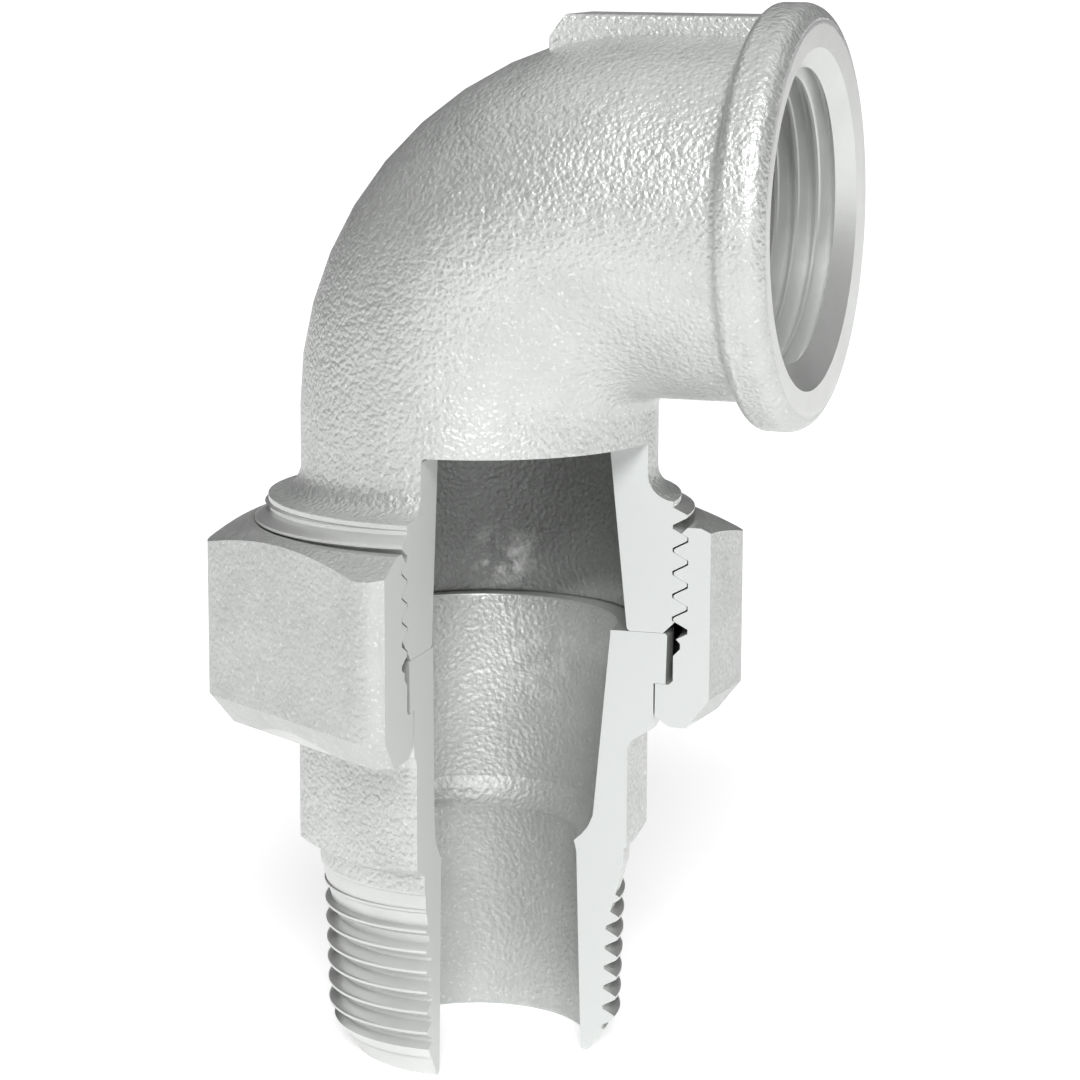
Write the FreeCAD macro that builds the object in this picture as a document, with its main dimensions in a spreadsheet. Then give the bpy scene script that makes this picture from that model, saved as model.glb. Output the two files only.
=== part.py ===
# Union elbow, 1 inch, male R 1 tail and female Rp 1 outlet, flat metal seat, with a quarter
# of the union milled away so that the threads and the seat can be seen.
# Millimetres. +Z is up along the union axis, +X is the outlet. z = 0 is the tail thread's end.
import FreeCAD, Part
import Sketcher
import math
import os
import re

# alias, value, meaning
SIZES = [
    ("seat_z", 48.35, "flat sealing face of the tail piece"),
    ("seat_gap", 0.03, "gap between the two sealing faces"),
    ("cut_top_z", 69.3, "top of the milled window"),
    ("cut_turn", 1.8, "angle from the outlet's axis to the milled quarter and the tail's flats, in degrees"),
    ("cut_reach", 60.0, "size of the block that the window takes away"),
    ("cut_corner", 0.5, "radius that the cutter leaves at the top of the window"),
    # R 1 taper thread on the tail piece
    ("pipe_pitch", 2.309, "pitch of R 1 and Rp 1"),
    ("pipe_depth", 1.479, "depth of R 1 and Rp 1"),
    ("tail_major_r", 16.62, "major radius at the gauge plane"),
    ("tail_gauge_z", 10.39, "gauge plane from the tail's end"),
    ("pipe_taper", 0.03125, "growth of the radius with height"),
    ("tail_first_root_z", -1.73, "height of the first groove, at +X"),
    ("tail_thread_turns", 10.2, "turns of the groove"),
    ("tail_full_z", 14.3, "height where the groove starts to run out"),
    ("tail_runout_z", 21.0, "height where the groove ends"),
    ("tail_tip_r", 13.25, "outside radius of the tail's end"),
    ("tail_tip_z", 4.3, "height of the chamfer at the tail's end"),
    ("tail_pilot_z", 21.4, "start of the plain part above the thread"),
    ("tail_pilot_r", 17.3, "radius of the plain part above the thread"),
    # wrench hexagon and neck of the tail piece
    ("tail_hex_flat", 17.62, "half the width across flats"),
    ("tail_hex_z", 23.7, "lower end of the hexagon"),
    ("tail_hex_round", 4.0, "radius of the hexagon's upright corners"),
    ("tail_hex_slope", 0.5, "rise of the hexagon's lower chamfer per mm of radius"),
    ("tail_neck_r", 20.55, "round neck inside the nut's lip"),
    ("tail_neck_z", 37.6, "lower end of the round neck"),
    ("tail_neck_slope", 0.6, "rise of the shoulder between hexagon and neck"),
    ("tail_neck_round", 1.5, "radius between the flats and the shoulder"),
    ("flange_z", 42.7, "underside of the flange that the nut holds"),
    ("flange_low_r", 21.9, "flange radius at its underside"),
    ("flange_top_r", 22.05, "flange radius at the seat"),
    ("flange_edge", 0.25, "chamfer at the flange's top edge"),
    # waterway of the tail piece
    ("tail_bore_top_r", 14.98, "waterway radius at the seat"),
    ("core_shift_tail", 0.65, "shift of the cast waterway at the seat, along +X and along +Y"),
    ("tail_bore_mid_r", 14.0, "waterway radius at the middle"),
    ("tail_bore_mid_z", 30.2, "height of the middle"),
    ("tail_step_top_r", 13.72, "radius above the step"),
    ("tail_step_top_z", 27.2, "height above the step"),
    ("tail_step_r", 11.55, "smallest radius, at the step's edge"),
    ("tail_step_z", 24.2, "height of the step's edge"),
    ("tail_low_r", 11.85, "radius under the step"),
    ("tail_low_z", 23.0, "height under the step"),
    ("tail_end_r", 12.45, "waterway radius near the tail's end"),
    ("tail_end_edge", 0.45, "chamfer of the waterway at the tail's end"),
    # union thread on the elbow, and its mate in the nut
    ("union_pitch", 2.54, "pitch, 10 turns to the inch"),
    ("union_depth", 1.65, "depth"),
    ("union_major_r", 24.2, "major radius on the elbow"),
    ("union_first_root_z", 47.5, "height of the elbow's first groove, at +X"),
    ("union_turns", 5.9, "turns of the elbow's groove"),
    ("union_top_z", 61.6, "top of the elbow's thread crests"),
    ("union_tip_r", 21.57, "outside radius of the elbow's end"),
    ("union_play_r", 0.12, "radial clearance at the crests of the elbow's thread"),
    ("union_play_z", 0.04, "half the clearance along the axis"),
    ("union_drop", 0.09, "how far the tightened nut sits down in that clearance"),
    # cast elbow
    ("collar_r", 22.7, "collar above the union thread"),
    ("collar_z", 62.35, "underside of the collar"),
    ("collar_top_z", 63.0, "top of the collar"),
    ("collar_round", 3.0, "radius between the collar and the cast neck"),
    ("tube_r", 19.7, "outside radius of the cast elbow"),
    ("bend_r", 21.5, "radius of the bend's centre line"),
    ("cast_shift", 1.5, "how far the casting sits off the machined axes, along +Y"),
    ("outlet_z", 94.0, "height of the outlet's axis"),
    ("outlet_x", 38.0, "face of the outlet from the union axis"),
    ("bead_r", 22.6, "radius of the bead around the outlet"),
    ("bead_x", 32.6, "back of the bead"),
    ("bead_front", 2.2, "radius of the bead's front edge"),
    ("bead_back", 1.3, "radius of the bead's back edge"),
    ("bead_foot", 1.3, "radius between the bead and the elbow"),
    ("pad_x", 9.4, "start of the rib on top of the elbow"),
    ("pad_half", 4.4, "half the rib's width"),
    ("pad_top", 21.2, "top of the rib above the outlet's axis"),
    ("pad_round", 0.6, "radius of the rib's edges"),
    ("pad_slope_x", 1.8, "length of the sloped end of the rib"),
    ("pad_slope_z", 2.4, "height of the sloped end of the rib"),
    # waterway of the elbow
    ("elbow_bore_seat_r", 16.15, "waterway radius at the seat"),
    ("elbow_bore_top_r", 13.7, "waterway radius at the start of the bend"),
    ("core_shift_elbow", 1.35, "shift of the cast waterway, along +X and along +Y"),
    ("seat_round", 0.5, "radius of the elbow's inner seat corner"),
    ("bend_bore_r", 13.0, "waterway radius in the bend"),
    # Rp 1 thread in the outlet
    ("tap_minor_r", 15.145, "minor radius"),
    ("tap_minor_x", 15.6, "depth of the tapped hole"),
    ("tap_pilot_r", 15.05, "radius of the plain drilled hole behind the thread"),
    ("tap_lead", 0.7, "length of the cone between the plain hole and the tapped hole"),
    ("tap_depth_x", 20.5, "depth of the drilled hole"),
    ("tap_first_root_x", -0.31, "depth that the first groove would have straight above the axis"),
    ("tap_turns", 8.2, "turns of the groove"),
    ("tap_thread_length", 13.4, "full thread from the face"),
    ("mouth_r", 18.0, "radius of the mouth's chamfer at the face"),
    ("mouth_slope", 1.4, "fall of the chamfer's radius per mm of depth"),
    ("mouth_reach", 3.0, "depth of the tool that cuts the chamfer"),
    # union nut
    ("nut_flat", 26.1, "half the width across flats"),
    ("nut_round", 3.2, "radius of the upright corners"),
    ("nut_turn", -3.7, "angle from the outlet's axis to the nut's flats, in degrees"),
    ("nut_shift_x", 0.55, "how far the nut's hexagon sits off its thread, along +X"),
    ("nut_shift_y", -0.7, "the same along +Y"),
    ("nut_bottom_z", 37.9, "lower face"),
    ("nut_top_z", 60.2, "upper face"),
    ("nut_chamfer_in", 2.6, "lower chamfer, across"),
    ("nut_chamfer_up", 3.3, "lower chamfer, upwards"),
    ("nut_crown_r", 25.2, "radius where the crown starts to fall"),
    ("nut_crown_slope", 0.45, "fall of the crown per mm of radius"),
    ("nut_lip_r", 20.72, "bore of the lip"),
    ("nut_lip_top_z", 42.67, "top of the lip"),
    ("nut_lip_mouth_r", 22.4, "radius of the lip's lower chamfer"),
    ("nut_lip_mouth", 1.1, "height of the lip's lower chamfer"),
    ("nut_counter_r", 22.73, "plain bore around the flange"),
    ("nut_counter_round", 0.45, "radius at the foot of that bore"),
    ("nut_relief_r", 23.5, "relief groove under the nut's thread"),
    ("nut_relief_z", 47.0, "middle of the relief groove"),
    ("nut_mouth", 1.5, "chamfer at the nut's mouth"),
]

# direction in which the helical grooves start, in degrees from +X: clear of the milled quarter
THREAD_START = 40.0

ALIASES = {alias for alias, _, _ in SIZES}

os.makedirs("parts", exist_ok=True)
doc = FreeCAD.newDocument("union_elbow")

sheet = doc.addObject("Spreadsheet::Sheet", "Sizes")
formulas = doc.addObject("Spreadsheet::Sheet", "Formulas")
for row, (alias, value, meaning) in enumerate(SIZES, start=1):
    sheet.set(f"A{row}", alias)
    sheet.set(f"B{row}", str(value))
    sheet.set(f"C{row}", meaning)
    sheet.setAlias(f"B{row}", alias)
doc.recompute()


def size(alias):
    """A size from the sheet, as a plain number."""
    return float(sheet.get(alias))


def expression(text):
    """Sheet aliases in the text get the sheet's name in front: "seat_z + 1" becomes "Sizes.seat_z + 1"."""
    return re.sub(r"[a-z_]\w*", lambda m: f"Sizes.{m[0]}" if m[0] in ALIASES else m[0], text)


def value_of(text):
    """The number that a formula over the sheet gives."""
    formulas.set("A1", f"={expression(text)}")
    formulas.recompute()
    return float(formulas.get("A1"))


def bind(thing, **properties):
    """Bind properties of a document object to formulas over the sheet."""
    for name, text in properties.items():
        thing.setExpression(name.replace("__", "."), expression(text))
    return thing


def sketch_polygon(sketch, corners):
    """Closed outline whose corners are pairs of formulas over the sheet."""
    values = [[value_of(text) for text in corner] for corner in corners]
    points = [FreeCAD.Vector(u, v, 0) for u, v in values]
    for start, end in zip(points, points[1:] + points[:1]):
        sketch.addGeometry(Part.LineSegment(start, end), False)
    for line in range(len(points)):
        sketch.addConstraint(Sketcher.Constraint("Coincident", line, 2, (line + 1) % len(points), 1))
    for line, (u_text, v_text) in enumerate(corners):
        u_value, v_value = values[line]
        for kind, text, value in (("DistanceX", u_text, u_value), ("DistanceY", v_text, v_value)):
            index = sketch.addConstraint(Sketcher.Constraint(kind, -1, 1, line, 1, value))
            sketch.setExpression(f"Constraints[{index}]", expression(text))
    return sketch


def profile(name, corners):
    """Outline in the XZ plane: the first coordinate is the radius, the second the height."""
    sketch = doc.addObject("Sketcher::SketchObject", name)
    sketch.Placement = FreeCAD.Placement(FreeCAD.Vector(), FreeCAD.Rotation(FreeCAD.Vector(1, 0, 0), 90))
    return sketch_polygon(sketch, corners)


def turned(name, corners):
    """Solid of revolution about Z."""
    outline = profile(f"{name}_outline", corners)
    solid = doc.addObject("Part::Revolution", name)
    solid.Source = outline
    solid.Axis = FreeCAD.Vector(0, 0, 1)
    solid.Base = FreeCAD.Vector(0, 0, 0)
    solid.Angle = 360
    solid.Solid = True
    return solid


def fuse(name, shapes):
    solid = doc.addObject("Part::MultiFuse", name)
    solid.Shapes = shapes
    solid.Refine = True
    return solid


def cut(name, base, tool):
    solid = doc.addObject("Part::Cut", name)
    solid.Base = base
    solid.Tool = tool
    return solid


def common(name, first, second):
    solid = doc.addObject("Part::MultiCommon", name)
    solid.Shapes = [first, second]
    return solid


def edges_where(thing, test):
    """Numbers of the edges that pass the test."""
    doc.recompute()
    return [i for i, edge in enumerate(thing.Shape.Edges, start=1) if test(edge)]


def fillet(name, base, test, radius):
    solid = doc.addObject("Part::Fillet", name)
    solid.Base = base
    solid.Edges = [(i, radius, radius) for i in edges_where(base, test)]
    return solid


def is_ring(edge, radius, height, axis=FreeCAD.Vector(0, 0, 1)):
    """Is the edge a circle of this radius around the axis at this height along it?"""
    if not isinstance(edge.Curve, Part.Circle):
        return False
    centre = edge.Curve.Center
    return abs(edge.Curve.Radius - radius) < 0.01 and abs(centre.dot(axis) - height) < 0.01


def upright(edge):
    a, b = edge.Vertexes[0].Point, edge.Vertexes[-1].Point
    return abs((b - a).normalize().z) > 0.999 and (b - a).Length > 1.0


def groove(name, pitch, depth, crest_r, start_z, turns, inward, cone="0", widen="0", segment=1):
    """Helical groove of a 55 degree thread with softened crests, right-handed.

    start_z is the height that the groove's middle line would have at +X. The groove starts a little
    further round, at THREAD_START, and so a little higher. inward is "1" for a groove cut into a
    shaft and "- 1" for one cut into a hole.
    """
    helix = doc.addObject("Part::Helix", f"{name}_line")
    helix.LocalCoord = 0
    helix.Style = 1
    helix.SegmentLength = segment
    bind(helix, Pitch=pitch, Height=f"{pitch} * {turns}", Radius=crest_r)
    if cone != "0":
        bind(helix, Angle=f"atan({cone})")
    root = f"0.083 * {pitch} + {widen}"
    soft = "0.2"
    flank = f"( {depth} - {soft} ) * tan(27.5 deg)"
    levels = [
        (f"{crest_r} + {inward} * 0.6", f"{root} + {flank} + {soft} * 0.9"),
        (f"{crest_r} + {inward} * 0.03", f"{root} + {flank} + {soft} * 0.9"),
        (f"{crest_r} - {inward} * {soft}", f"{root} + {flank}"),
        (f"{crest_r} - {inward} * {depth}", f"{root}"),
    ]
    corners = [(r, half) for r, half in levels]
    corners += [(r, f"- ( {half} )") for r, half in reversed(levels)]
    section = profile(f"{name}_section", corners)
    sweep = doc.addObject("Part::Sweep", name)
    sweep.Sections = [section]
    sweep.Spine = (helix, [])
    sweep.Solid = True
    sweep.Frenet = True
    sweep.Placement.Rotation = FreeCAD.Rotation(FreeCAD.Vector(0, 0, 1), THREAD_START)
    return bind(sweep, Placement__Base__z=f"{start_z} + {pitch} * {THREAD_START / 360}")


def hexagon(name, flat, low, high, corner_radius, turn):
    """Upright hexagonal prism with rounded corners. Two of its flats face +X and -X when turn is 0."""
    prism = doc.addObject("Part::Prism", f"{name}_prism")
    prism.Polygon = 6
    bind(prism, Circumradius=f"{flat} / cos(30 deg)", Height=f"{high} - ( {low} )", Placement__Base__z=low)
    prism.Placement.Rotation = FreeCAD.Rotation(FreeCAD.Vector(0, 0, 1), 30)
    bind(prism, Placement__Rotation__Angle=f"30 + {turn}")
    return fillet(name, prism, upright, size(corner_radius))


def round_tool(name, kind, place, **properties):
    """A cylinder, cone or torus used as material or as a tool."""
    thing = doc.addObject(kind, name)
    thing.Placement = place
    return bind(thing, **properties)


ALONG_X = FreeCAD.Rotation(FreeCAD.Vector(0, 1, 0), 90)
AT_ORIGIN = FreeCAD.Placement()


def ring_loft(name, low, high):
    """Cast waterway between two circles, each given as radius, shift along X and Y, and height."""
    circles = []
    for end, (radius, shift, height) in (("low", low), ("high", high)):
        circle = doc.addObject("Part::Circle", f"{name}_{end}")
        bind(
            circle,
            Radius=radius,
            Placement__Base__x=shift,
            Placement__Base__y=shift,
            Placement__Base__z=height,
        )
        circles.append(circle)
    loft = doc.addObject("Part::Loft", name)
    loft.Sections = circles
    loft.Solid = True
    loft.Ruled = True
    return loft


def window(name):
    """The quarter that is milled away, from under the part to cut_top_z.

    It is x above 0 and y below 0 when cut_turn is 0.
    """
    block = doc.addObject("Part::Box", f"{name}_block")
    bind(
        block,
        Length="cut_reach",
        Width="cut_reach",
        Height="cut_top_z + 5",
        Placement__Base__y="- cut_reach",
        Placement__Base__z="- 5",
    )
    top = size("cut_top_z")

    def inner_top(edge):
        return all(abs(v.Point.x) < 0.01 and abs(v.Point.z - top) < 0.01 for v in edge.Vertexes)

    rounded = fillet(f"{name}_rounded", block, inner_top, size("cut_corner"))
    turned_block = doc.addObject("Part::Compound", name)
    turned_block.Links = [rounded]
    return bind(turned_block, Placement__Rotation__Angle="cut_turn")


# ---- tail piece ----
tail_round = turned(
    "tail_round",
    [
        ("0", "0"),
        ("tail_tip_r", "0"),
        ("tail_major_r + ( tail_tip_z - tail_gauge_z ) * pipe_taper", "tail_tip_z"),
        ("tail_major_r + ( tail_pilot_z - tail_gauge_z ) * pipe_taper", "tail_pilot_z"),
        ("tail_pilot_r", "tail_pilot_z + 0.2"),
        ("tail_pilot_r", "tail_hex_z + 1.5"),
        ("0", "tail_hex_z + 1.5"),
    ],
)
tail_hex = hexagon(
    "tail_hex", "tail_hex_flat", "tail_hex_z", "tail_neck_z + 0.5", "tail_hex_round", "cut_turn"
)
tail_hex_room = turned(
    "tail_hex_room",
    [
        ("0", "tail_hex_z - 0.1"),
        ("tail_pilot_r", "tail_hex_z - 0.1"),
        ("tail_pilot_r", "tail_hex_z"),
        ("tail_pilot_r + 5", "tail_hex_z + 5 * tail_hex_slope"),
        ("tail_pilot_r + 5", "tail_neck_z + 1"),
        ("0", "tail_neck_z + 1"),
    ],
)
tail_wrench = common("tail_wrench", tail_hex, tail_hex_room)
tail_neck = turned(
    "tail_neck",
    [
        ("0", "tail_neck_z - ( tail_neck_r - 5 ) * tail_neck_slope"),
        ("5", "tail_neck_z - ( tail_neck_r - 5 ) * tail_neck_slope"),
        ("tail_neck_r", "tail_neck_z"),
        ("tail_neck_r", "flange_z"),
        ("flange_low_r", "flange_z"),
        ("flange_top_r", "seat_z - flange_edge"),
        ("flange_top_r - flange_edge", "seat_z"),
        ("0", "seat_z"),
    ],
)
tail_blank = fuse("tail_blank", [tail_round, tail_wrench, tail_neck])


def neck_root(edge):
    """Edges where the hexagon meets the sloping underside of the neck."""
    low = size("tail_neck_z") - (size("tail_neck_r") - size("tail_hex_flat")) * size("tail_neck_slope") - 0.05
    points = [edge.valueAt(p) for p in (edge.FirstParameter, edge.LastParameter)]
    inside = all(math.hypot(q.x, q.y) < size("tail_neck_r") - 0.3 for q in points)
    return inside and all(low < q.z < size("tail_neck_z") - 0.05 for q in points)


tail_soft = fillet("tail_soft", tail_blank, neck_root, size("tail_neck_round"))
tail_waterway = turned(
    "tail_waterway",
    [
        ("0", "- 1"),
        ("tail_end_r + tail_end_edge + 1", "- 1"),
        ("tail_end_r", "tail_end_edge"),
        ("tail_low_r", "tail_low_z"),
        ("tail_step_r", "tail_step_z"),
        ("tail_step_r + 0.85", "tail_step_z + 0.75"),
        ("tail_step_r + 1.6", "tail_step_z + 1.7"),
        ("tail_step_top_r", "tail_step_top_z"),
        ("tail_bore_mid_r", "tail_bore_mid_z"),
        ("0", "tail_bore_mid_z"),
    ],
)
tail_upper_way = ring_loft(
    "tail_upper_way",
    ("tail_bore_mid_r", "0", "tail_bore_mid_z"),
    ("tail_bore_top_r", "core_shift_tail", "seat_z + 0.001"),
)
tail_way = fuse("tail_way", [tail_waterway, tail_upper_way])
tail_hollow = cut("tail_hollow", tail_soft, tail_way)
tail_groove = groove(
    "tail_groove",
    "pipe_pitch",
    "pipe_depth",
    "( tail_major_r + ( tail_first_root_z - tail_gauge_z ) * pipe_taper )",
    "tail_first_root_z",
    "tail_thread_turns",
    "1",
    cone="pipe_taper",
)
tail_groove_room = turned(
    "tail_groove_room",
    [
        ("10", "- 6"),
        ("30", "- 6"),
        ("30", "tail_runout_z"),
        ("tail_major_r + 0.5", "tail_runout_z"),
        ("tail_major_r - pipe_depth + 0.12", "tail_full_z"),
        ("tail_major_r - pipe_depth - 0.8", "tail_full_z - 2"),
        ("10", "tail_full_z - 2"),
    ],
)
tail_tool = common("tail_tool", tail_groove, tail_groove_room)
tail_threaded = cut("tail_threaded", tail_hollow, tail_tool)
tail_piece = cut("tail_piece", tail_threaded, window("tail_window"))

# ---- elbow ----
union_end = turned(
    "union_end",
    [
        ("0", "seat_z + seat_gap"),
        ("union_tip_r", "seat_z + seat_gap"),
        ("union_major_r", "seat_z + seat_gap + ( union_major_r - union_tip_r )"),
        ("union_major_r", "union_top_z"),
        ("collar_r - 0.15", "collar_z"),
        ("collar_r", "collar_z + 0.1"),
        ("collar_r", "collar_top_z"),
        ("0", "collar_top_z"),
    ],
)
neck = round_tool(
    "neck",
    "Part::Cylinder",
    AT_ORIGIN,
    Radius="tube_r",
    Height="outlet_z - bend_r - collar_top_z + 2",
    Placement__Base__y="cast_shift",
    Placement__Base__z="collar_top_z - 2",
)
bend = round_tool(
    "bend",
    "Part::Torus",
    FreeCAD.Placement(FreeCAD.Vector(), FreeCAD.Rotation(FreeCAD.Vector(1, 0, 0), 90)),
    Radius1="bend_r",
    Radius2="tube_r",
    Placement__Base__x="bend_r",
    Placement__Base__y="cast_shift",
    Placement__Base__z="outlet_z - bend_r",
)
bend.Angle1 = -180
bend.Angle2 = 180
bend_room = doc.addObject("Part::Box", "bend_room")
bind(
    bend_room,
    Length="60",
    Width="60",
    Height="60",
    Placement__Base__x="bend_r - 60",
    Placement__Base__y="- 30",
    Placement__Base__z="outlet_z - bend_r",
)
bend_quarter = common("bend_quarter", bend, bend_room)
run = round_tool(
    "run",
    "Part::Cylinder",
    FreeCAD.Placement(FreeCAD.Vector(), ALONG_X),
    Radius="tube_r",
    Height="outlet_x - bend_r - 0.5",
    Placement__Base__x="bend_r",
    Placement__Base__y="cast_shift",
    Placement__Base__z="outlet_z",
)
bead_blank = round_tool(
    "bead_blank",
    "Part::Cylinder",
    FreeCAD.Placement(FreeCAD.Vector(), ALONG_X),
    Radius="bead_r",
    Height="outlet_x - bead_x",
    Placement__Base__x="bead_x",
    Placement__Base__y="cast_shift",
    Placement__Base__z="outlet_z",
)
bead_front = fillet(
    "bead_front",
    bead_blank,
    lambda edge: is_ring(edge, size("bead_r"), size("outlet_x"), FreeCAD.Vector(1, 0, 0)),
    size("bead_front"),
)
bead = fillet(
    "bead",
    bead_front,
    lambda edge: is_ring(edge, size("bead_r"), size("bead_x"), FreeCAD.Vector(1, 0, 0)),
    size("bead_back"),
)
casting = fuse("casting", [union_end, neck, bend_quarter, run, bead])
casting_foot = fillet(
    "casting_foot",
    casting,
    lambda edge: is_ring(edge, size("tube_r"), size("bead_x"), FreeCAD.Vector(1, 0, 0)),
    size("bead_foot"),
)
casting_soft = fillet(
    "casting_soft",
    casting_foot,
    lambda edge: is_ring(edge, size("tube_r"), size("collar_top_z")),
    size("collar_round"),
)
pad_blank = doc.addObject("Part::Box", "pad_blank")
bind(
    pad_blank,
    Length="bead_x + 1 - pad_x",
    Width="2 * pad_half",
    Height="12",
    Placement__Base__x="pad_x",
    Placement__Base__y="cast_shift - pad_half",
    Placement__Base__z="outlet_z + pad_top - 12",
)


def on_pad_top(edge):
    pad_high = size("outlet_z") + size("pad_top")
    return all(abs(v.Point.z - pad_high) < 0.01 for v in edge.Vertexes)


def free_pad_end(edge):
    return on_pad_top(edge) and all(v.Point.x < size("pad_x") + 0.1 for v in edge.Vertexes)


def free_pad_edge(edge):
    return on_pad_top(edge) and not all(v.Point.x > size("bead_x") for v in edge.Vertexes)


pad_sloped = doc.addObject("Part::Chamfer", "pad_sloped")
pad_sloped.Base = pad_blank
pad_sloped.Edges = [
    (i, size("pad_slope_z"), size("pad_slope_x")) for i in edges_where(pad_blank, free_pad_end)
]
pad = fillet("pad", pad_sloped, free_pad_edge, size("pad_round"))
elbow_blank = fuse("elbow_blank", [casting_soft, pad])
elbow_low_way = ring_loft(
    "elbow_low_way",
    ("elbow_bore_seat_r", "core_shift_elbow", "seat_z + seat_gap"),
    ("elbow_bore_top_r", "core_shift_elbow", "outlet_z - bend_r"),
)
bend_way = round_tool(
    "bend_way",
    "Part::Torus",
    FreeCAD.Placement(FreeCAD.Vector(), FreeCAD.Rotation(FreeCAD.Vector(1, 0, 0), 90)),
    Radius1="bend_r - core_shift_elbow",
    Radius2="bend_bore_r",
    Placement__Base__x="bend_r",
    Placement__Base__y="core_shift_elbow",
    Placement__Base__z="outlet_z - bend_r",
)
bend_way.Angle1 = -180
bend_way.Angle2 = 180
bend_way_quarter = common("bend_way_quarter", bend_way, bend_room)
run_way = round_tool(
    "run_way",
    "Part::Cylinder",
    FreeCAD.Placement(FreeCAD.Vector(), ALONG_X),
    Radius="bend_bore_r",
    Height="10",
    Placement__Base__x="bend_r",
    Placement__Base__y="core_shift_elbow",
    Placement__Base__z="outlet_z - core_shift_elbow",
)
pilot_hole = round_tool(
    "pilot_hole",
    "Part::Cylinder",
    FreeCAD.Placement(FreeCAD.Vector(), ALONG_X),
    Radius="tap_pilot_r",
    Height="tap_depth_x",
    Placement__Base__x="outlet_x - tap_depth_x",
    Placement__Base__z="outlet_z",
)
tap_lead = round_tool(
    "tap_lead_cone",
    "Part::Cone",
    FreeCAD.Placement(FreeCAD.Vector(), ALONG_X),
    Radius1="tap_pilot_r",
    Radius2="tap_minor_r",
    Height="tap_lead",
    Placement__Base__x="outlet_x - tap_minor_x - tap_lead",
    Placement__Base__z="outlet_z",
)
tap_hole = round_tool(
    "tap_hole",
    "Part::Cylinder",
    FreeCAD.Placement(FreeCAD.Vector(), ALONG_X),
    Radius="tap_minor_r",
    Height="tap_minor_x + 1",
    Placement__Base__x="outlet_x - tap_minor_x",
    Placement__Base__z="outlet_z",
)
mouth = round_tool(
    "mouth",
    "Part::Cone",
    FreeCAD.Placement(FreeCAD.Vector(), ALONG_X),
    Radius1="mouth_r - mouth_reach * mouth_slope",
    Radius2="mouth_r + mouth_slope",
    Height="mouth_reach + 1",
    Placement__Base__x="outlet_x - mouth_reach",
    Placement__Base__z="outlet_z",
)
elbow_way = fuse(
    "elbow_way", [elbow_low_way, bend_way_quarter, run_way, pilot_hole, tap_lead, tap_hole, mouth]
)
elbow_hollow = cut("elbow_hollow", elbow_blank, elbow_way)
elbow_seat = fillet(
    "elbow_seat",
    elbow_hollow,
    lambda edge: is_ring(edge, size("elbow_bore_seat_r"), size("seat_z") + size("seat_gap")),
    size("seat_round"),
)
union_groove = groove(
    "union_groove",
    "union_pitch",
    "union_depth",
    "union_major_r",
    "union_first_root_z",
    "union_turns",
    "1",
)
elbow_open = cut("elbow_open", elbow_seat, window("elbow_window"))
elbow_threaded = cut("elbow_threaded", elbow_open, union_groove)
tap_groove_upright = groove(
    "tap_groove_upright",
    "pipe_pitch",
    "pipe_depth",
    "tap_minor_r",
    "tap_first_root_x",
    "tap_turns",
    "- 1",
)
tap_groove_room = turned(
    "tap_groove_room",
    [
        ("10", "- 4"),
        ("25", "- 4"),
        ("25", "tap_thread_length"),
        ("tap_minor_r + pipe_depth + 0.1", "tap_thread_length"),
        ("tap_minor_r - 0.3", "tap_thread_length + 2.5"),
        ("10", "tap_thread_length + 2.5"),
    ],
)
tap_tool = common("tap_tool", tap_groove_upright, tap_groove_room)
# the tool is made upright at the origin with the mouth at z = 0, then laid along -X into the outlet
tap_placed = doc.addObject("Part::Compound", "tap_placed")
tap_placed.Links = [tap_tool]
tap_placed.Placement.Rotation = FreeCAD.Rotation(FreeCAD.Vector(0, 1, 0), -90)
bind(tap_placed, Placement__Base__x="outlet_x", Placement__Base__z="outlet_z")
elbow_body = cut("elbow_body", elbow_threaded, tap_placed)

# ---- union nut ----
nut_prism = hexagon("nut_prism", "nut_flat", "nut_bottom_z", "nut_top_z", "nut_round", "nut_turn")


def nut_bottom_edge(edge):
    return all(abs(v.Point.z - size("nut_bottom_z")) < 0.01 for v in edge.Vertexes)


nut_chamfered = doc.addObject("Part::Chamfer", "nut_chamfered")
nut_chamfered.Base = nut_prism
nut_chamfered.Edges = [
    (i, size("nut_chamfer_up"), size("nut_chamfer_in")) for i in edges_where(nut_prism, nut_bottom_edge)
]
nut_crown_room = turned(
    "nut_crown_room",
    [
        ("0", "nut_bottom_z - 1"),
        ("40", "nut_bottom_z - 1"),
        ("40", "nut_top_z - ( 40 - nut_crown_r ) * nut_crown_slope"),
        ("nut_crown_r", "nut_top_z"),
        ("0", "nut_top_z"),
    ],
)
nut_crowned = common("nut_crowned", nut_chamfered, nut_crown_room)
nut_inside = turned(
    "nut_inside",
    [
        ("0", "nut_bottom_z - 1"),
        ("nut_lip_mouth_r + ( nut_lip_mouth_r - nut_lip_r ) / nut_lip_mouth", "nut_bottom_z - 1"),
        ("nut_lip_r", "nut_bottom_z + nut_lip_mouth"),
        ("nut_lip_r", "nut_lip_top_z"),
        ("nut_counter_r - nut_counter_round", "nut_lip_top_z"),
        ("nut_counter_r", "nut_lip_top_z + nut_counter_round"),
        ("nut_counter_r", "nut_relief_z - 1.1"),
        ("nut_relief_r", "nut_relief_z - 0.3"),
        ("nut_relief_r", "nut_relief_z + 0.3"),
        ("nut_counter_r", "nut_relief_z + 1.1"),
        ("nut_counter_r", "nut_top_z - nut_mouth"),
        ("nut_counter_r + 2 * nut_mouth", "nut_top_z + nut_mouth"),
        ("0", "nut_top_z + nut_mouth"),
    ],
)
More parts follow.
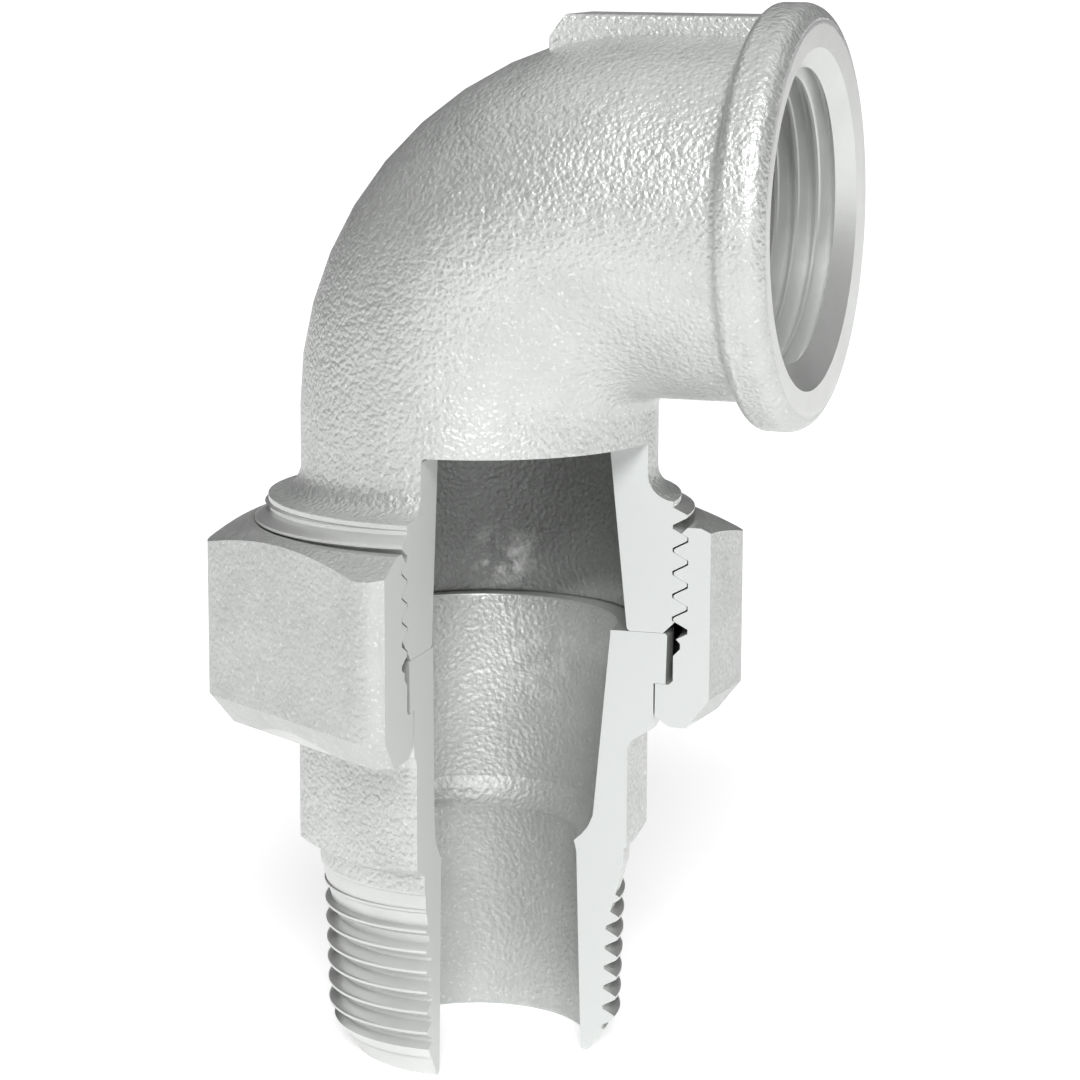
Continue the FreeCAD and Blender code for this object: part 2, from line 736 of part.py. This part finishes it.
# the hexagon is cast a little off its thread
nut_outside = doc.addObject("Part::Compound", "nut_outside")
nut_outside.Links = [nut_crowned]
bind(nut_outside, Placement__Base__x="nut_shift_x", Placement__Base__y="nut_shift_y")
nut_hollow = cut("nut_hollow", nut_outside, nut_inside)
nut_open = cut("nut_open", nut_hollow, window("nut_window"))
nut_groove = groove(
    "nut_groove",
    "union_pitch",
    "( union_major_r + union_play_r - nut_counter_r )",
    "nut_counter_r",
    "union_first_root_z - 0.5 * union_pitch - union_drop",
    "6",
    "- 1",
    widen="union_play_z",
)
union_nut = cut("union_nut", nut_open, nut_groove)

doc.recompute()
for thing in doc.Objects:
    if "Invalid" in thing.State or "Error" in thing.State:
        raise RuntimeError(f"{thing.Name} could not be built")

PIECES = (tail_piece, elbow_body, union_nut)
for piece in PIECES:
    if piece.Shape.isNull() or not piece.Shape.isValid() or len(piece.Shape.Solids) != 1:
        raise RuntimeError(f"{piece.Name} is not one valid solid")
    piece.Label = piece.Name
for piece in PIECES:
    piece.Shape.exportStep(f"parts/{piece.Label}.step")
    print(piece.Label, round(piece.Shape.Volume), "mm3", len(piece.Shape.Faces), "faces")
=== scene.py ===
"""Union elbow: looks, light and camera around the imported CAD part."""
import bpy
from math import cos, radians, sin
from mathutils import Matrix, Vector

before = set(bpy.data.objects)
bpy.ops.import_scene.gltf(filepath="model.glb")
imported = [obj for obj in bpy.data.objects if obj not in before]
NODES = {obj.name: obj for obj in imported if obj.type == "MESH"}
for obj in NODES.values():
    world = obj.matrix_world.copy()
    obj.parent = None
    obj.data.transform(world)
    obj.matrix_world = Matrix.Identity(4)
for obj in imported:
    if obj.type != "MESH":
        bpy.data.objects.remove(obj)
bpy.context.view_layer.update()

MM = 0.001
CUT_TOP_Z = 69.3 * MM      # top of the milled window
CUT_TURN = radians(1.8)    # how far the milled quarter is turned about Z
CUT_CLOSE = 0.06 * MM      # a face this close to a milled plane belongs to it
CUT_ALONG = 0.985          # and its normal has at least this share of the plane's normal
OUTLET_Z = 94.0 * MM       # height of the outlet's axis


# ---------------------------------------------------------------- node helpers
class Graph:
    """Small wrapper for building shader node trees with formulas."""

    def __init__(self, name):
        self.material = bpy.data.materials.new(name)
        self.material.use_nodes = True
        self.tree = self.material.node_tree
        self.shader = self.tree.nodes["Principled BSDF"]

    def node(self, kind, **values):
        made = self.tree.nodes.new(kind)
        for key, value in values.items():
            setattr(made, key, value)
        return made

    def wire(self, source, socket):
        """Link an output to the socket, or set the socket to a number or a tuple."""
        if isinstance(source, (int, float, tuple)):
            socket.default_value = source
        else:
            self.tree.links.new(source, socket)

    def math(self, operation, *inputs, clamp=False):
        made = self.node("ShaderNodeMath", operation=operation, use_clamp=clamp)
        for value, socket in zip(inputs, made.inputs):
            self.wire(value, socket)
        return made.outputs[0]

    def both(self, first, second):
        """1 where first and second are 1."""
        return self.math("MULTIPLY", first, second)

    def length(self, first, second):
        """Length of the vector (first, second)."""
        squares = (self.math("MULTIPLY", value, value) for value in (first, second))
        return self.math("SQRT", self.math("ADD", *squares))

    def step(self, value, low, high):
        """0 below low, 1 above high, smooth between. low may be above high."""
        made = self.node("ShaderNodeMapRange", interpolation_type="SMOOTHSTEP")
        for source, socket in zip((value, low, high, 0.0, 1.0), made.inputs):
            self.wire(source, socket)
        return made.outputs[0]

    def scale(self, value, low, high, to_low, to_high):
        """Straight change from to_low at low to to_high at high, held outside."""
        made = self.node("ShaderNodeMapRange")
        for source, socket in zip((value, low, high, to_low, to_high), made.inputs):
            self.wire(source, socket)
        return made.outputs[0]

    def mix(self, share, first, second, blend="MIX"):
        """Colour between first and second."""
        made = self.node("ShaderNodeMix", data_type="RGBA", blend_type=blend)
        self.wire(share, made.inputs[0])
        self.wire(first, made.inputs[6])
        self.wire(second, made.inputs[7])
        return made.outputs[2]

    def blend(self, share, first, second):
        """Number between first and second."""
        made = self.node("ShaderNodeMix", data_type="FLOAT")
        self.wire(share, made.inputs[0])
        self.wire(first, made.inputs[2])
        self.wire(second, made.inputs[3])
        return made.outputs[0]

    def noise(self, place, size, detail, rough, stretch=None):
        """Noise with features of about this size in metres."""
        made = self.node("ShaderNodeTexNoise")
        if stretch:
            mapping = self.node("ShaderNodeMapping")
            self.wire(place, mapping.inputs[0])
            mapping.inputs["Scale"].default_value = stretch
            place = mapping.outputs[0]
        self.wire(place, made.inputs["Vector"])
        made.inputs["Scale"].default_value = 1.0 / size
        made.inputs["Detail"].default_value = detail
        made.inputs["Roughness"].default_value = rough
        return made.outputs[0]

    def cells(self, place, size, smooth):
        """Distance to the nearest of scattered points, rounded off by smooth."""
        made = self.node("ShaderNodeTexVoronoi", feature="SMOOTH_F1")
        self.wire(place, made.inputs["Vector"])
        made.inputs["Scale"].default_value = 1.0 / size
        made.inputs["Smoothness"].default_value = smooth
        return made.outputs["Distance"]


def grey(level, warm=0.0, green=0.0):
    """Opaque linear grey, a little warmer or greener."""
    return (level * (1 + warm), level * (1 + green), level * (1 - warm), 1.0)


# colours
SKIN_DIM = grey(0.63, 0.0, 0.022)
SKIN_BRIGHT = grey(0.71, 0.0, 0.020)
# painted glints: bright specks in the skin's colour, in place of the sparkle of light
PAINTED_GLINT = grey(0.95, 0.0, 0.004)
BLOOM = grey(0.80, 0.0, 0.010)
TURNED_DIM = grey(0.64, 0.002, 0.018)
TURNED_BRIGHT = grey(0.72, 0.002, 0.018)
MILLED_LEFT = grey(0.69, 0.002, 0.018)
# painted shade: the right and top milled faces are painted darker than the left ones, for how
# the light falls on them
MILLED_RIGHT_PAINTED_SHADE = grey(0.63, -0.006, 0.024)

# gloss and relief
SKIN_ROUGH = (0.36, 0.52)    # between its specks
TURNED_ROUGH = 0.34
BORE_ROUGH = 0.60
MILLED_ROUGH = 0.45
SKIN_METAL = 0.60
MILLED_METAL = 0.15
TURNED_RELIEF = 0.12
MILLED_RELIEF = 0.03
BUMP_STRENGTH = 0.60
BUMP_HEIGHT = 0.26 * MM


def zinc(name, machined, shade, relief, bore_limit, bore_painted_shade):
    """Galvanised casting: bumpy skin, turned or threaded zones, smooth milled section faces.

    machined(graph, x, y, z, radius) gives 1 where the surface is turned or threaded.
    The skin's colour is multiplied by shade, or by bore_painted_shade, painted shade inside the
    waterway, where bore_limit(graph, x, y, z, radius) gives 1. relief scales the height of the
    skin's bumps.
    """
    g = Graph(name)
    where = g.node("ShaderNodeTexCoord")
    place = where.outputs["Object"]
    split = g.node("ShaderNodeSeparateXYZ")
    g.wire(place, split.inputs[0])
    x, y, z = split.outputs
    facing = g.node("ShaderNodeSeparateXYZ")
    g.wire(where.outputs["Normal"], facing.inputs[0])
    nx, ny, nz = facing.outputs
    radius = g.length(x, y)

    def plane(value, normal, sign):
        """1 on the milled faces in the plane where value is 0."""
        close = g.math("LESS_THAN", g.math("ABSOLUTE", value), CUT_CLOSE)
        toward = g.math("GREATER_THAN", g.math("MULTIPLY", normal, sign), CUT_ALONG)
        return g.both(close, toward)

    def turned_back(first, second, operation):
        """Distance along one of the milled quarter's own two axes."""
        return g.math(
            operation,
            g.math("MULTIPLY", first, cos(CUT_TURN)),
            g.math("MULTIPLY", second, sin(CUT_TURN)),
        )

    across = turned_back(x, y, "ADD")
    along = turned_back(y, x, "SUBTRACT")
    left = plane(across, nx, 1.0)
    right = plane(along, ny, -1.0)
    top = plane(g.math("SUBTRACT", z, CUT_TOP_Z), nz, -1.0)
    milled = g.math("ADD", g.math("ADD", left, right), top, clamp=True)
    turned = g.both(machined(g, x, y, z, radius), g.math("SUBTRACT", 1.0, milled))

    # colour: a blotchy skin with painted glints (bright specks that stand in for sparkle of
    # light), white bloom in the waterway
    blotch = g.noise(place, 9 * MM, 4.0, 0.6)
    speck = g.noise(place, 0.9 * MM, 3.0, 0.6)
    glint_spots = g.noise(place, 0.42 * MM, 2.0, 0.5)
    cast_tone = g.mix(g.scale(blotch, 0.35, 0.65, 0.0, 1.0), SKIN_DIM, SKIN_BRIGHT)
    # painted glints: bright specks mixed into the skin's colour
    cast_tone = g.mix(g.scale(glint_spots, 0.60, 0.74, 0.0, 0.75), cast_tone, PAINTED_GLINT)
    # painted shade: the skin is painted darker inside the waterway
    inside = bore_limit(g, x, y, z, radius)
    shading = g.mix(inside, grey(shade), grey(bore_painted_shade))
    cast_tone = g.mix(1.0, cast_tone, shading, blend="MULTIPLY")
    stain = g.both(stained(g, place), g.step(radius, 17.6 * MM, 17.0 * MM))
    cast_tone = g.mix(stain, cast_tone, BLOOM)
    turned_tone = g.mix(g.scale(blotch, 0.3, 0.7, 0.0, 1.0), TURNED_DIM, TURNED_BRIGHT)
    colour = g.mix(turned, cast_tone, turned_tone)
    # the milled faces: the right and top ones carry painted shade, darker than the left ones
    colour = g.mix(left, colour, MILLED_LEFT)
    colour = g.mix(g.math("ADD", right, top, clamp=True), colour, MILLED_RIGHT_PAINTED_SHADE)
    g.wire(colour, g.shader.inputs["Base Color"])

    # gloss
    rough = g.blend(turned, g.scale(speck, 0.3, 0.7, *SKIN_ROUGH), TURNED_ROUGH)
    rough = g.blend(inside, rough, BORE_ROUGH)
    rough = g.blend(milled, rough, MILLED_ROUGH)
    g.wire(rough, g.shader.inputs["Roughness"])
    metal = g.blend(milled, SKIN_METAL, MILLED_METAL)
    g.wire(metal, g.shader.inputs["Metallic"])

    # relief
    pebble = g.cells(place, 0.62 * MM, 0.5)
    fine = g.noise(place, 0.36 * MM, 2.0, 0.5)
    swell = g.noise(place, 4.0 * MM, 2.0, 0.5)
    skin = g.math("ADD", g.math("MULTIPLY", pebble, -0.9), g.math("MULTIPLY", fine, 0.9))
    skin = g.math("ADD", skin, g.math("MULTIPLY", swell, 0.6))
    scratch = g.noise(place, 0.5 * MM, 2.0, 0.5, stretch=(1.0, 1.0, 6.0))
    strength = g.blend(turned, relief, TURNED_RELIEF)
    strength = g.blend(milled, strength, MILLED_RELIEF)
    height = g.math("MULTIPLY", g.blend(turned, skin, scratch), strength)
    bump = g.node("ShaderNodeBump")
    bump.inputs["Strength"].default_value = BUMP_STRENGTH
    bump.inputs["Distance"].default_value = BUMP_HEIGHT
    g.wire(height, bump.inputs["Height"])
    g.wire(bump.outputs[0], g.shader.inputs["Normal"])
    return g.material


def stained(g, place):
    """Whitish bloom on the far wall of the waterway, above and below the two seats."""

    def patch(centre, reach):
        """1 near the centre, fading to 0 at the reach."""
        apart = g.node("ShaderNodeVectorMath", operation="DISTANCE")
        g.wire(place, apart.inputs[0])
        apart.inputs[1].default_value = centre
        return g.step(apart.outputs["Value"], reach, 0.25 * reach)

    spots = g.scale(g.noise(place, 2.4 * MM, 5.0, 0.65), 0.42, 0.62, 0.0, 1.0)
    above = patch((-2.4 * MM, 16.8 * MM, 52.3 * MM), 5.5 * MM)
    below = patch((2.2 * MM, 14.8 * MM, 42.0 * MM), 8.5 * MM)
    patches = g.math("ADD", above, g.math("MULTIPLY", below, 0.8), clamp=True)
    return g.both(spots, patches)


def tail_machined(g, x, y, z, radius):
    """1 on the pipe thread, the outside above the hexagon and the seat."""
    thread = g.both(g.step(z, 22.0 * MM, 21.6 * MM), g.step(radius, 12.9 * MM, 13.2 * MM))
    neck = g.both(g.step(z, 37.0 * MM, 37.4 * MM), g.step(radius, 18.0 * MM, 18.4 * MM))
    seat = g.step(z, 48.1 * MM, 48.3 * MM)
    return g.math("MAXIMUM", g.math("MAXIMUM", thread, neck), seat)


def elbow_machined(g, x, y, z, radius):
    """1 on the union thread, in the tapped outlet and on its flat face."""
    union = g.both(g.step(z, 62.98 * MM, 62.92 * MM), g.step(radius, 18.6 * MM, 19.0 * MM))
    rise = g.math("SUBTRACT", z, OUTLET_Z)
    around = g.length(rise, y)
    inside = g.both(g.step(x, 17.2 * MM, 17.6 * MM), g.step(around, 18.14 * MM, 18.06 * MM))
    inside = g.both(inside, g.step(z, 72.0 * MM, 74.0 * MM))
    face = g.step(x, 37.9 * MM, 37.96 * MM)
    return g.math("MAXIMUM", union, g.math("MAXIMUM", inside, face))


def nut_machined(g, x, y, z, radius):
    """1 everywhere inside the nut's outer faces."""
    return g.step(radius, 24.9 * MM, 24.7 * MM)


def tail_bore(g, x, y, z, radius):
    """1 in the lower waterway, less above the step, where the skin gets painted shade and a
    duller gloss.
    """
    inner = g.step(radius, 15.4 * MM, 15.1 * MM)
    return g.both(inner, g.scale(z, 22.0 * MM, 40.0 * MM, 1.0, 0.55))


def elbow_bore(g, x, y, z, radius):
    """1 in the waterway under the bend, which the galvanising left dull; there the skin also
    gets painted shade.
    """
    inner = g.step(radius, 18.0 * MM, 17.6 * MM)
    return g.both(inner, g.step(z, 74.0 * MM, 70.0 * MM))


def nowhere(*_):
    """The nut has no waterway of its own."""
    return 0.0


# bore_painted_shade darkens the skin inside each waterway as painted shade
LOOKS = {
    "tail_piece": {
        "machined": tail_machined,
        "shade": 0.96,
        "relief": 0.8,
        "bore_limit": tail_bore,
        "bore_painted_shade": 0.76,
    },
    "elbow_body": {
        "machined": elbow_machined,
        "shade": 0.94,
        "relief": 0.85,
        "bore_limit": elbow_bore,
        "bore_painted_shade": 0.50,
    },
    "union_nut": {
        "machined": nut_machined,
        "shade": 0.86,
        "relief": 0.45,
        "bore_limit": nowhere,
        "bore_painted_shade": 1.0,
    },
}
for node, look in LOOKS.items():
    NODES[node].data.materials.clear()
    NODES[node].data.materials.append(zinc(f"{node}_zinc", **look))


# ---------------------------------------------------------------- floor
FLOOR_SIZE = 24.0    # metres, so that its edge stays out of every view
FLOOR_GLOW = 0.45    # keeps the floor near the white of the background

bpy.ops.mesh.primitive_plane_add(size=FLOOR_SIZE, location=(0, 0, 0))
floor = bpy.context.object
floor.name = "floor"
white = Graph("floor_white")
white.wire(grey(0.92), white.shader.inputs["Base Color"])
white.wire(0.9, white.shader.inputs["Roughness"])
white.wire(grey(1.0), white.shader.inputs["Emission Color"])
white.wire(FLOOR_GLOW, white.shader.inputs["Emission Strength"])
floor.data.materials.append(white.material)


# ---------------------------------------------------------------- light
world = bpy.data.worlds.new("studio")
bpy.context.scene.world = world
world.use_nodes = True
# a light tent: bright towards the front right and above, dim at the left and behind
SKY_BRIGHT_SIDE = Vector((0.50, -0.62, 0.60)).normalized()
SKY_RANGE = (-0.75, 0.9)     # shares of that direction at which the sky is dimmest and brightest
SKY_LEVELS = (0.30, 1.05)
sky = world.node_tree
sky_place = sky.nodes.new("ShaderNodeTexCoord")
sky_side = sky.nodes.new("ShaderNodeVectorMath")
sky_side.operation = "DOT_PRODUCT"
sky_side.inputs[1].default_value = SKY_BRIGHT_SIDE
sky_level = sky.nodes.new("ShaderNodeMapRange")
sky_level.interpolation_type = "SMOOTHSTEP"
for socket, value in zip(sky_level.inputs[1:5], SKY_RANGE + SKY_LEVELS):
    socket.default_value = value
sky.links.new(sky_place.outputs["Generated"], sky_side.inputs[0])
sky.links.new(sky_side.outputs["Value"], sky_level.inputs[0])
sky.links.new(sky_level.outputs[0], sky.nodes["Background"].inputs["Strength"])


def sun(name, toward, power, spread):
    """Very soft sun that stands in the direction toward. spread is its width in degrees."""
    data = bpy.data.lights.new(name, "SUN")
    data.energy = power
    data.angle = radians(spread)
    lamp = bpy.data.objects.new(name, data)
    bpy.context.scene.collection.objects.link(lamp)
    lamp.rotation_euler = (-Vector(toward)).to_track_quat("-Z", "Y").to_euler()


sun("key", toward=(0.30, -0.79, 0.55), power=2.5, spread=22)
sun("top", toward=(0.0, 0.0, 1.0), power=1.0, spread=90)


# ---------------------------------------------------------------- camera
AZIMUTH = radians(20.06)     # how far the camera stands round to the right of the front
PITCH = radians(10.5)        # how far it looks down
YAW = radians(1.068)         # how far it looks to the right of the axis
DISTANCE = 377.9 * MM        # from the union's axis
HEIGHT = 127.5 * MM
FOCAL_LENGTH = 116.03        # as the sensor's width, in Blender's own millimetres
SENSOR_WIDTH = 36.0
UP = Vector((0, 0, 1))

right = Vector((cos(AZIMUTH), sin(AZIMUTH), 0))
level = Vector((-sin(AZIMUTH), cos(AZIMUTH), 0))
ahead = level * cos(PITCH) - UP * sin(PITCH)
upward = level * sin(PITCH) + UP * cos(PITCH)
ahead, right = ahead * cos(YAW) + right * sin(YAW), right * cos(YAW) - ahead * sin(YAW)
turn = Matrix((right, upward, -ahead)).transposed()

lens = bpy.data.cameras.new("camera")
lens.lens = FOCAL_LENGTH
lens.sensor_width = SENSOR_WIDTH
lens.clip_start = 0.01
camera = bpy.data.objects.new("camera", lens)
bpy.context.scene.collection.objects.link(camera)
camera.matrix_world = Matrix.Translation(UP * HEIGHT - level * DISTANCE) @ turn.to_4x4()
bpy.context.scene.camera = camera
bpy.context.scene.view_settings.view_transform = "Standard"
